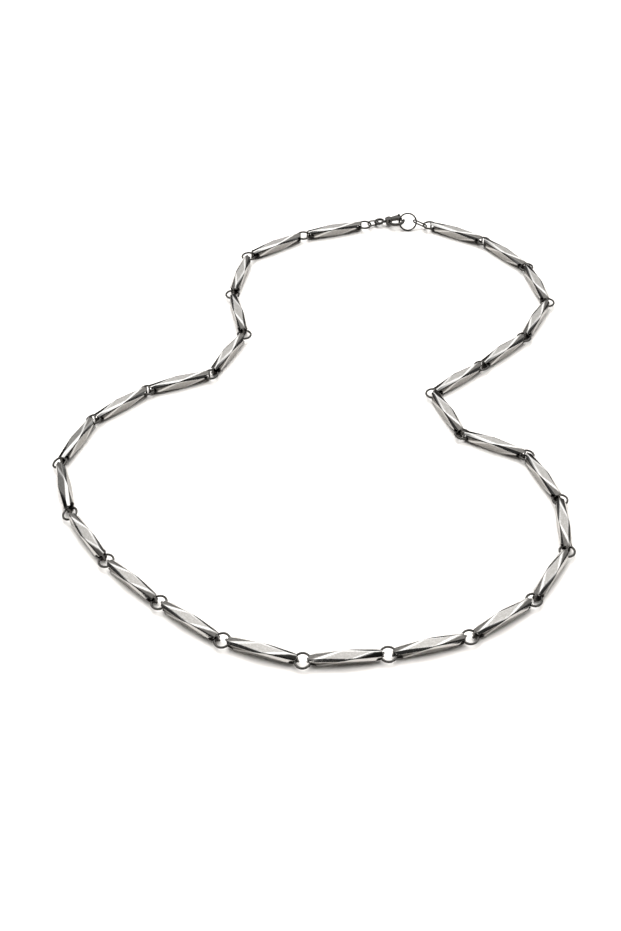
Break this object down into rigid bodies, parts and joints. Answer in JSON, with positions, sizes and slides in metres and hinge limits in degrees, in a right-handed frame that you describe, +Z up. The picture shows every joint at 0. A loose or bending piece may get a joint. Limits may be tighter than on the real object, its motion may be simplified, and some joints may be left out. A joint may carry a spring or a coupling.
{
  "type": "bar-link chain necklace",
  "caption": "Closed necklace of long hollow faceted steel bar links joined by small rings, with a sprung lobster clasp and a jump ring.",
  "frame": {"origin": "middle of the laid chain's box, on the surface that it rests on", "axes": "+Y from the front of the loop to the clasp, +X to the right across the loop, +Z up"},
  "size_m": [0.1483, 0.194, 0.0048],
  "materials": {
    "bar_steel": "fine brushed",
    "ring_steel": "polished",
    "clasp_steel": "polished"
  },
  "bodies": {
    "chain": {"link_01": "bar_steel", "link_02": "bar_steel", "link_03": "bar_steel", "link_04": "bar_steel", "link_05": "bar_steel", "link_06": "bar_steel", "link_07": "bar_steel", "link_08": "bar_steel", "link_09": "bar_steel", "link_10": "bar_steel", "link_11": "bar_steel", "link_12": "bar_steel", "link_13": "bar_steel", "link_14": "bar_steel", "link_15": "bar_steel", "link_16": "bar_steel", "link_17": "bar_steel", "link_18": "bar_steel", "link_19": "bar_steel", "link_20": "bar_steel", "link_21": "bar_steel", "link_22": "bar_steel", "link_23": "bar_steel", "link_24": "bar_steel", "link_25": "bar_steel", "link_26": "bar_steel", "link_27": "bar_steel", "joint_rings": "ring_steel", "end_ring_left": "ring_steel", "end_ring_right": "ring_steel", "clasp_connector": "ring_steel", "jump_ring": "ring_steel", "ring_connector": "ring_steel", "clasp_body": "clasp_steel", "clasp_pin": "clasp_steel"},
    "lever": {"clasp_lever": "clasp_steel"}
  },
  "joints": [
    {"name": "clasp_lever_hinge", "type": "hinge", "parent": "chain", "child": "lever", "pos_m": [0.02508, 0.09531, 0.00182], "axis": [0.1367, -0.0263, -0.9903], "range_deg": [0, 7.5], "stiffness_Nm_per_rad": 0.002, "springref_deg": -11.46}
  ]
}
